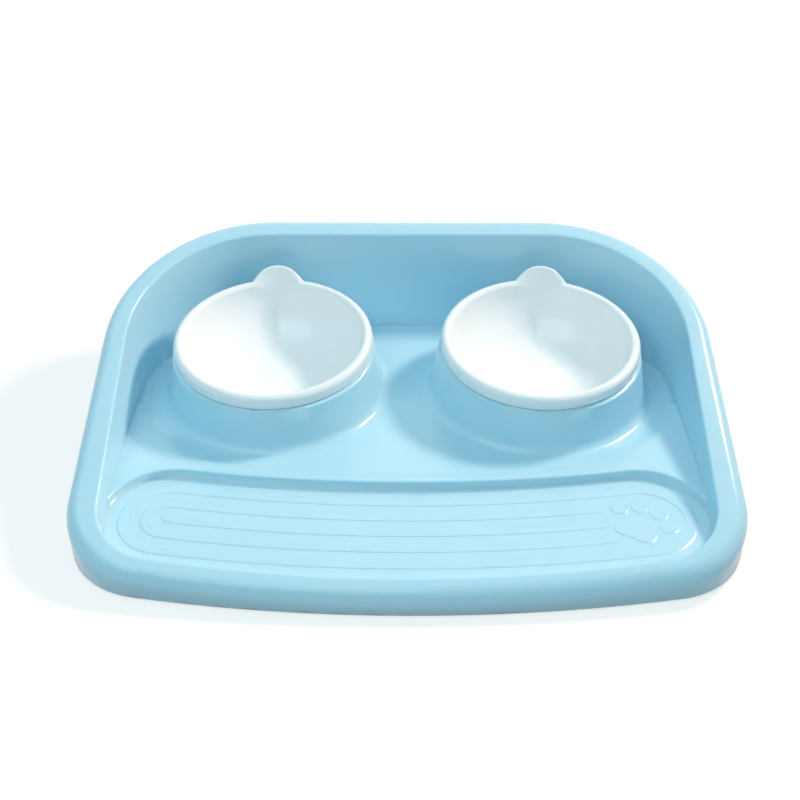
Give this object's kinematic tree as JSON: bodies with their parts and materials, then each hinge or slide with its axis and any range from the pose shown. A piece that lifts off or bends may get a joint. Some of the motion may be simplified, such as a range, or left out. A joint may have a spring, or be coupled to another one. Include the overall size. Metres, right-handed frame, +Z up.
{
  "type": "double pet bowl",
  "caption": "Tray for feeding pets, with a sloping rolled rim, a ribbed mat and two flared pedestals that each hold a lift-out bowl with a thumb tab.",
  "frame": {"origin": "middle of the part's box, on the table under the rubber feet", "axes": "+X to the right along the front edge, +Y to the tall back wall, +Z up"},
  "size_m": [0.392, 0.2894, 0.0909],
  "materials": {
    "tray": "glossy pale blue",
    "bowl": "glossy white",
    "foot": "soft matt grey"
  },
  "bodies": {
    "tray": {"tray": "tray", "foot_front_left": "foot", "foot_front_right": "foot", "foot_rear_left": "foot", "foot_rear_right": "foot"},
    "bowl_left": {"bowl_left": "bowl"},
    "bowl_right": {"bowl_right": "bowl"}
  },
  "joints": [
    {"name": "bowl_left_lift", "type": "slide", "parent": "tray", "child": "bowl_left", "axis": [0, -0.0785, 0.9969], "range_m": [0, 0.06]},
    {"name": "bowl_right_lift", "type": "slide", "parent": "tray", "child": "bowl_right", "axis": [0, -0.0785, 0.9969], "range_m": [0, 0.06]}
  ]
}
